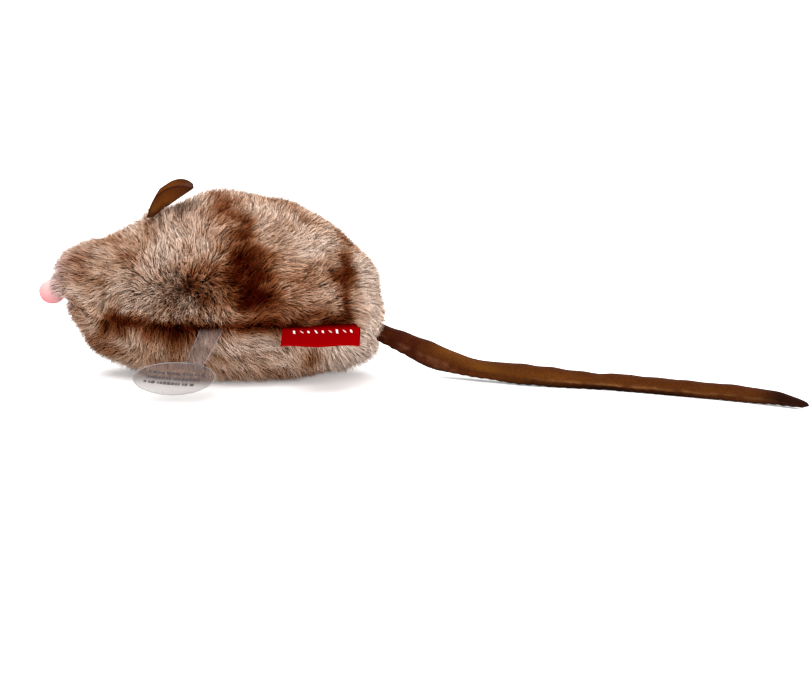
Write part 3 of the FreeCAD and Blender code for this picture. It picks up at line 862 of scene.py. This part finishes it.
def tail_tones(centre, points, turn):
    """Suede tone at every point of the tail: a painted gold highlight above, painted shade near black along the
    fold and the lower edge.
    """
    x = centre[:, None, 0]
    # angle round the tail, 0 on the toy's left and pi / 2 on top
    face = np.angle(np.exp(1j * turn))[None, :]
    wander = noise(points * np.array([0.4, 1, 1]), 3.5, 41)
    fine = noise(points * np.array([0.5, 1, 1]), 1.1, 42)
    out = np.broadcast_to(linear(68, 30, 7), points.shape).copy()
    out = blend_tone(out, linear(56, 18, 6), rise(x, 68, 54) * 0.8 + 0 * face)
    # painted highlight: a gold streak on the upper side, moving down towards the middle further out, broken up by
    # noise
    gold = bell(face, 1.0 - 0.8 * rise(x, 66, 78), 0.7)
    reach = rise(x, 54, 62) * (0.35 + 0.65 * rise(x, 104, 90))
    out = blend_tone(out, linear(96, 54, 14), gold * reach * (0.35 + 0.9 * wander))
    out = blend_tone(out, linear(84, 42, 14), 0.8 * (fine - 0.45) + 0 * face)
    # painted highlight: a paler band on the side just below the middle, broken up by the nap noise
    pale = bell(face, -0.20 - 0.2 * wander, 0.20) * rise(x, 84, 96)
    out = blend_tone(out, linear(128, 84, 46), pale * np.clip(1.5 * fine - 0.25, 0, 0.8))
    # painted shade: near black along the lower edge and the rolled fold
    edge = 1 / (1 + np.exp((face + 0.74 + 0.25 * (wander - 0.5)) * 14)) * (face > -2.4)
    out = blend_tone(out, linear(20, 5, 1), edge * 0.95)
    stitch = bell(face, -0.10, 0.13) + 0.7 * bell(face, -0.45, 0.10)
    stitch = stitch * np.clip(2.2 * fine - 0.9, 0, 1) * rise(x, 68, 64)
    out = blend_tone(out, linear(124, 80, 54), stitch * 0.6)
    return blend_tone(out, linear(28, 8, 3), rise(x, 142, 149) * 0.92 + 0 * face)


def suede_material(name):
    """Brushed suede: painted tone broken up by the short nap."""
    material = attribute_material(
        name, "suede_tone", 0.9, Specular_IOR_Level=0.04, Sheen_Weight=0.03, Sheen_Roughness=0.4,
    )
    shader_of(material).inputs["Sheen Tint"].default_value = (0.8, 0.5, 0.3, 1)
    nap = object_noise(material, 2200, 4.0)
    grain = ramp(material, nap, [(0.3, (0.62, 0.58, 0.55)), (0.7, (1.0, 1.0, 1.0))])
    mix = node_of(material, "ShaderNodeVectorMath", operation="MULTIPLY")
    painted = shader_of(material).inputs["Base Color"].links[0].from_socket
    wire(material, painted, mix.inputs[0])
    wire(material, grain, mix.inputs[1])
    wire(material, mix.outputs["Vector"], shader_of(material).inputs["Base Color"])
    bump(material, nap, 0.5, 0.12 * MM)
    return material


# ---- ears
def make_ear(side, node, body, hinge, lean):
    """Cupped suede leaf with a rolled rim, gathered at its hem and turned outwards above."""
    lean, splay = math.radians(lean), math.radians(EAR_SPLAY) * -side
    rows, columns = 40, 33
    points, rims = [], []
    for layer in (1, -1):
        for i in range(rows):
            s = i / (rows - 1)
            down = -0.2 + s * EAR_LENGTH
            blunt = 2.2 if s < 0.5 else 4.0
            half = EAR_HALF_WIDTH * max(1 - abs(2 * s - 1) ** blunt, 0.0) ** 0.5
            half = max(half, 3.2 * max(0.0, 1 - 1.6 * s), 0.6)
            turn = math.radians(EAR_TURN) * side * min(s / 0.45, 1) ** 1.5
            for j in range(columns):
                w = -1 + 2 * j / (columns - 1)
                angle = w * half / EAR_CUP
                edge = math.sqrt(max(1 - abs(w) ** 8, 0) * max(1 - (2 * s - 1) ** 12, 0.04))
                thick = EAR_THICK / 2 * edge * (1 + 0.35 * bell(abs(w), 0.84, 0.09))
                r = EAR_CUP + layer * thick
                x = r * math.cos(angle) - EAR_CUP - 1.0 * s * (1 - s)
                y = r * math.sin(angle)
                points.append((*spin(x, y, turn), down))
                rims.append((max(abs(w) ** 5, (2 * s - 1) ** 6), s, 1.0 if layer > 0 else 0.6))
    points, rims = np.array(points), np.array(rims)
    # turn from the ear's own axes to its rest pose on the head
    x, y, z = points.T
    y, z = spin(y, z, splay)
    x, z = spin(x, z, -lean)
    points = np.stack([x, y, z], -1) + joint_place(hinge)
    sheet = rows * columns
    front = grid_faces(rows, columns)
    back = [tuple(v + sheet for v in reversed(f)) for f in front]
    rim = (
        [j for j in range(columns)]
        + [i * columns + columns - 1 for i in range(1, rows)]
        + [(rows - 1) * columns + j for j in range(columns - 2, -1, -1)]
        + [i * columns for i in range(rows - 2, 0, -1)]
    )
    around = [
        (a, rim[(k + 1) % len(rim)], rim[(k + 1) % len(rim)] + sheet, a + sheet)
        for k, a in enumerate(rim)
    ]
    faces = [tuple(reversed(f)) for f in front] + [tuple(reversed(f)) for f in back] + around
    piece = mesh_piece("suede_" + node, points, faces, SUEDE)
    tone = np.broadcast_to(linear(100, 52, 14), points.shape).copy()
    tone = blend_tone(tone, linear(132, 82, 28), (noise(points, 3.0, 51) - 0.25) * rims[:, 2])
    tone = blend_tone(tone, linear(46, 14, 4), rims[:, 0] * 0.9)
    # painted shade: darker towards the ear's top
    tone = blend_tone(tone, linear(58, 20, 6), np.clip((rims[:, 1] - 0.62) * 2.2, 0, 0.8))
    set_colours(piece, "suede_tone", tone)
    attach(piece, body)
    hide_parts(node)


# ---- label
def make_label():
    """Woven ribbon folded double, satin red, with a row of plain white marks."""
    _, along, _, normal = label_frame()
    rows, columns = 26, 46
    half = LABEL_HALF
    loop = []
    for k in range(rows):
        s = k / (rows - 1)
        loop.append((0.2 + s * (LABEL_REACH - 0.4 - half), half))
    for k in range(1, 8):
        a = math.pi / 2 - math.pi * k / 8
        loop.append((LABEL_REACH - 0.2 - half + half * math.cos(a), half * math.sin(a)))
    loop += [(o, -h) for o, h in reversed(loop[:rows])]
    points = []
    for o, h in loop:
        for j in range(columns):
            a = LABEL_WIDTH * j / (columns - 1)
            wave = 0.22 * math.sin(a * 0.42 + 0.6) * (o / LABEL_REACH) ** 1.5
            points.append(label_spot(a, o) + normal * (h + wave))
    faces = grid_faces(len(loop), columns)
    ends = len(loop)
    for j in (0, columns - 1):
        strip = [k * columns + j for k in range(ends)]
        for k in range(ends // 2):
            quad = (strip[k], strip[k + 1], strip[ends - 2 - k], strip[ends - 1 - k])
            if len(set(quad)) == 4:
                faces.append(quad)
    for j in range(columns - 1):
        faces.append((j, j + 1, (ends - 1) * columns + j + 1, (ends - 1) * columns + j))
    material = new_material("label_weave", 0.8, Specular_IOR_Level=0.0)
    where = node_of(material, "ShaderNodeTexCoord")
    weave = node_of(material, "ShaderNodeTexWave", Scale=1500.0, Distortion=1.5, Detail=1.0)
    weave.bands_direction = "X"
    wire(material, where.outputs["Object"], weave.inputs["Vector"])
    colour = ramp(material, weave.outputs["Fac"], [
        (0.2, linear(108, 0, 2)), (0.8, linear(146, 0, 3)),
    ])
    wire(material, colour, shader_of(material).inputs["Base Color"])
    bump(material, weave.outputs["Fac"], 0.5, 0.10 * MM)
    piece = mesh_piece("label_ribbon", points, faces, material)
    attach(piece, "label_body")
    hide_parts("label")

    # plain raised stitches along the sewn edge, alternating tall and short
    thread = mottled("label_thread", linear(225, 220, 215), linear(250, 248, 244), 3000, 0.6, 0.05)
    verts, quads = [], []
    marks = [(3.2 + 1.95 * k, 0.62 if k % 3 else 0.95, 0.5 if k % 2 else 0.24) for k in range(9)]
    o = 1.9
    for a, long, skew in marks:
        base = len(verts)
        corners = (
            (-0.30, -long), (0.26, -long + skew), (0.20 + skew, long), (-0.34 + skew, long - skew),
        )
        for da, do in corners:
            spot = label_spot(a, o + do) + along * da
            verts.append(spot + normal * (half + 0.03))
            verts.append(spot + normal * (half + 0.16))
        quads.append((base + 1, base + 3, base + 5, base + 7))
        for k in range(4):
            m = (k + 1) % 4
            quads.append((base + 2 * k, base + 2 * m, base + 2 * m + 1, base + 2 * k + 1))
    stitches = mesh_piece("label_marks", verts, quads, thread, smooth=False)
    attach(stitches, "label_body")


# ---- pull tab
TAB_WIDTH = 6.0
TAB_X = -1.7
TAB_Z = 16.6
TAB_THICK = 0.24
TAB_GRIP = np.array([-10.6, -36.0, 5.8])
TAB_LONG = 10.8
TAB_SHORT = 6.8
TAB_TILT = math.radians(27)
GRIP_BEAD = 0.15
STEM_BEAD = 0.08
DASH_ROWS = ((-7.0, 8.4, 1.9), (-7.0, 6.2, -0.3), (-8.0, 4.8, -2.4))  # start, end, height


def make_pull_tab():
    """Clear film: a straight strip in its slot, a curled stem and an oval grip."""
    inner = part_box("pull_tab")[1][1] / MM
    film = new_material(
        "clear_film", 0.16, Specular_IOR_Level=0.3, IOR=1.45,
        Transmission_Weight=0.0, Alpha=0.31,
    )
    shader_of(film).inputs["Base Color"].default_value = (0.16, 0.12, 0.11, 1)
    # centre line of strip and stem: place and direction across it
    route = np.array([
        (TAB_X, inner, TAB_Z),
        (TAB_X, inner - 10, TAB_Z),
        (TAB_X, inner - 20, TAB_Z),
        (TAB_X, -24.6, TAB_Z),
        (TAB_X - 0.2, -27.4, TAB_Z - 0.5),
        (TAB_X - 1.2, -29.2, TAB_Z - 2.6),
        (TAB_X - 2.6, -30.2, TAB_Z - 5.2),
        (TAB_X - 4.0, -31.2, TAB_Z - 7.6),
        (TAB_X - 5.2, -32.6, TAB_Z - 9.3),
    ])
    at = np.linspace(0, len(route) - 1, 60)
    line = curve_through(route, at)
    turn = np.interp(at, [0, 3.2, 6.5, 8], [0, 0, 0.62, 0.66])
    across = np.stack([np.cos(turn), -np.sin(turn), np.zeros_like(turn)], -1)
    tangent = unit(np.gradient(line, axis=0))
    lift = unit(np.cross(across, tangent))
    half = np.interp(at, [0, 5, 7, 8], [TAB_WIDTH / 2, TAB_WIDTH / 2, 3.2, 4.8])[:, None]
    verts = np.concatenate([
        line + side * across * half + layer * lift * TAB_THICK / 2
        for layer in (1, -1) for side in (-1, 1)
    ])
    m = len(line)
    faces = []
    for i in range(m - 1):
        faces += [
            (i, i + 1, m + i + 1, m + i),
            (2 * m + i, 3 * m + i, 3 * m + i + 1, 2 * m + i + 1),
            (i, 2 * m + i, 2 * m + i + 1, i + 1),
            (m + i, m + i + 1, 3 * m + i + 1, 3 * m + i),
        ]
    faces.append((0, m, 3 * m, 2 * m))
    strip = mesh_piece("pull_tab_strip", verts, faces, film)

    # oval grip with a thicker beaded edge
    around, rings = 72, 9
    tilt = np.array([
        [1, 0, 0],
        [0, math.cos(TAB_TILT), math.sin(TAB_TILT)],
        [0, -math.sin(TAB_TILT), math.cos(TAB_TILT)],
    ])
    verts = []
    for layer in (1, -1):
        for r in range(rings):
            share = r / (rings - 1)
            bead = 0.16 * math.exp(-((share - 0.94) / 0.045) ** 2)
            for k in range(around):
                a = 2 * math.pi * k / around
                curl = 0.5 * (share * math.cos(a)) ** 2
                local = np.array([
                    TAB_LONG * share * math.cos(a),
                    TAB_SHORT * share * math.sin(a),
                    layer * (TAB_THICK / 2 + bead) * (1 if r < rings - 1 else 0.4) + curl,
                ])
                verts.append(TAB_GRIP + local @ tilt)
    size = rings * around
    upper = grid_faces(rings, around, closed_columns=True)
    faces = upper + [tuple(v + size for v in reversed(f)) for f in upper]
    for k in range(around):
        a, b = (rings - 1) * around + k, (rings - 1) * around + (k + 1) % around
        faces.append((a, b, b + size, a + size))
    grip = mesh_piece("pull_tab_grip", verts, faces, film)

    # the film's cut edge catches the light as a thin grey line
    edge = new_material("film_edge", 0.4, Alpha=0.7)
    shader_of(edge).inputs["Base Color"].default_value = (0.36, 0.33, 0.33, 1)
    verts = []
    for k in range(around):
        a = 2 * math.pi * k / around
        for v in range(4):
            r = GRIP_BEAD * math.cos(math.pi / 2 * v)
            local = np.array([
                (TAB_LONG + r) * math.cos(a), (TAB_SHORT + r) * math.sin(a),
                GRIP_BEAD * math.sin(math.pi / 2 * v) + 0.5 * math.cos(a) ** 2,
            ])
            verts.append(TAB_GRIP + local @ tilt)
    faces = grid_faces(around, 4, closed_rows=True, closed_columns=True)
    for side in (-1, 1):
        base = len(verts)
        for i in range(m):
            for v in range(4):
                c, s = math.cos(math.pi / 2 * v), math.sin(math.pi / 2 * v)
                bead = STEM_BEAD * (across[i] * c + lift[i] * s)
                verts.append(line[i] + side * across[i] * half[i] + bead)
        faces += [tuple(base + v for v in f) for f in grid_faces(m, 4, closed_columns=True)]
    edges = mesh_piece("pull_tab_edges", verts, faces, edge)

    # three rows of plain dashes
    ink = mottled("tab_ink", linear(44, 34, 34), linear(84, 70, 70), 4000, 0.6)
    verts, quads = [], []
    for first, last, middle in DASH_ROWS:
        a = first
        while a < last:
            long = 0.35 + 0.75 * rng.random()
            tall = 0.40 + 0.20 * rng.random()
            y = middle - 0.12 * a
            for da, dy in ((0, -tall), (long, -tall), (long, tall), (0, tall)):
                curl = 0.5 * ((a + da) / TAB_LONG) ** 2
                local = np.array([a + da, y + dy, TAB_THICK / 2 + 0.05 + curl])
                verts.append(TAB_GRIP + local @ tilt)
            base = len(verts) - 4
            quads.append((base, base + 1, base + 2, base + 3))
            a += long + (0.16 if rng.random() < 0.75 else 0.6)
    print_rows = mesh_piece("pull_tab_marks", verts, quads, ink, smooth=False)
    for piece in (strip, grip, edges, print_rows):
        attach(piece, "pull_tab_body")
    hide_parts("pull_tab")
    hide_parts("pull_tab")


# ---- parts that stay as built
# slot, material name, darker tone, lighter tone, noise scale, roughness, relief, other values
METAL = {"Metallic": 1.0}
LOOKS = [
    ("filling", "fibre_fill", (214, 212, 206), (246, 245, 240), 700, 0.95, 0.3, {}),
    ("suede", "suede_inner", (70, 30, 10), (112, 62, 22), 1800, 0.88, 0.10, {}),
    # label_inner: darker than the ribbon as painted shade, where the fur and the seam cover the label's sewn root
    ("label_weave", "label_inner", (84, 0, 2), (122, 0, 3), 1500, 0.8, 0.08,
     {"Specular_IOR_Level": 0.0}),
    ("pouch_cloth", "pouch_cotton", (196, 190, 176), (226, 222, 210), 1800, 0.9, 0.12, {}),
    ("case_plastic", "case_plastic", (22, 22, 25), (36, 36, 40), 3500, 0.48, 0.03, {}),
    ("holder_plastic", "holder_plastic", (188, 187, 180), (212, 211, 204), 2500, 0.5, 0.03, {}),
    ("screw_steel", "screw_steel", (150, 152, 155), (190, 192, 196), 3000, 0.3, 0.0, METAL),
    ("cell_steel", "cell_steel", (190, 189, 184), (222, 221, 216), 2200, 0.22, 0.0, METAL),
    ("contact_brass", "contact_brass", (176, 134, 62), (214, 172, 92), 1800, 0.3, 0.0, METAL),
    ("board_green", "board_green", (10, 70, 36), (18, 100, 52), 2600, 0.35, 0.0, {}),
    ("chip_black", "chip_black", (10, 10, 11), (24, 24, 26), 1400, 0.25, 0.0, {}),
    ("part_ceramic", "part_ceramic", (150, 116, 78), (186, 150, 108), 2800, 0.55, 0.0, {}),
    ("sensor_metal", "sensor_metal", (170, 170, 166), (204, 204, 200), 1600, 0.32, 0.0, METAL),
    ("speaker_metal", "speaker_metal", (112, 112, 114), (146, 146, 150), 1600, 0.4, 0.0, METAL),
    ("magnet_metal", "magnet_metal", (50, 50, 54), (78, 78, 82), 2400, 0.6, 0.0,
     {"Metallic": 0.8}),
    ("cone_film", "cone_film", (196, 186, 150), (226, 216, 182), 1500, 0.5, 0.0, {}),
    ("foam", "foam", (24, 24, 24), (44, 44, 44), 4200, 0.95, 0.1, {}),
    ("wire_red", "wire_red", (160, 12, 12), (200, 30, 26), 2000, 0.4, 0.0, {}),
    ("wire_black", "wire_black", (14, 14, 14), (34, 34, 34), 2000, 0.4, 0.0, {}),
]
REPLACED = {
    "coat_side_left", "coat_side_right", "coat_belly", "nose_cap", "ear_left", "ear_right",
    "tail_root", "tail_base", "tail_mid", "tail_tip", "label", "pull_tab",
}


def finish_nodes():
    """Materials for the CAD nodes that keep their shape."""
    looks = {
        slot: mottled(name, linear(*dark), linear(*light), scale, roughness, relief, **values)
        for slot, name, dark, light, scale, roughness, relief, values in LOOKS
    }
    for entry in frame["record"]["subparts"]:
        if entry["node"] not in REPLACED:
            mesh = frame["nodes"][entry["node"]].data
            mesh.materials.clear()
            mesh.materials.append(looks[entry["material_slot"]])


# ---- stage
CAMERA_ELEVATION = math.radians(11)
CAMERA_DISTANCE = 0.630


def make_stage():
    """Pale floor, soft studio light and the camera."""
    floor = mesh_piece(
        "floor", [(-6000, -3000, 0), (6000, -3000, 0), (6000, 14000, 0), (-6000, 14000, 0)],
        [(0, 1, 2, 3)], None, smooth=False,
    )
    white = new_material("floor_white", 0.9, Specular_IOR_Level=0.1)
    shader_of(white).inputs["Base Color"].default_value = (0.93, 0.93, 0.93, 1)
    shader_of(white).inputs["Emission Color"].default_value = (1, 1, 1, 1)
    shader_of(white).inputs["Emission Strength"].default_value = 0.24
    floor.data.materials.append(white)

    world = bpy.data.worlds.new("studio")
    world.use_nodes = True
    world.node_tree.nodes["Background"].inputs["Color"].default_value = (1.0, 1.0, 1.0, 1)
    world.node_tree.nodes["Background"].inputs["Strength"].default_value = 1.0
    bpy.context.scene.world = world
    bpy.context.scene.view_settings.view_transform = "Standard"

    def aim(thing, place, target):
        thing.location = place
        thing.rotation_euler = (target - place).to_track_quat("-Z", "Y").to_euler()

    def lamp(name, place, target, size, power):
        light = bpy.data.lights.new(name, "AREA")
        light.shape = "RECTANGLE"
        light.size, light.size_y = size
        light.energy = power
        aim(add_object(name, light), Vector(place), Vector(target))

    lamp("key", (-0.25, -0.35, 0.75), (0.01, 0, 0.02), (0.5, 0.5), 5.0)
    lamp("back", (0.15, 0.55, 0.55), (0.0, 0, 0.03), (0.6, 0.4), 5.0)
    lamp("right", (0.5, -0.4, 0.10), (0.05, 0, 0.01), (0.3, 0.2), 1.7)

    target = Vector((0.0504, 0.0, 0.0075))
    back = Vector((0, -math.cos(CAMERA_ELEVATION), math.sin(CAMERA_ELEVATION)))
    camera = bpy.data.cameras.new("camera")
    camera.lens = 100
    camera.sensor_width = 36
    camera.clip_end = 20
    view = add_object("camera", camera)
    aim(view, target + back * CAMERA_DISTANCE, target)
    bpy.context.scene.camera = view


SUEDE = suede_material("suede_brown")
make_stage()
make_backing()
make_fur()
make_nose()
make_tail()
for ear_side, ear_hinge, ear_lean in EARS:
    ear_node = ear_hinge.replace("_fold", "")
    make_ear(ear_side, ear_node, ear_node + "_body", ear_hinge, ear_lean)
make_label()
make_pull_tab()
finish_nodes()
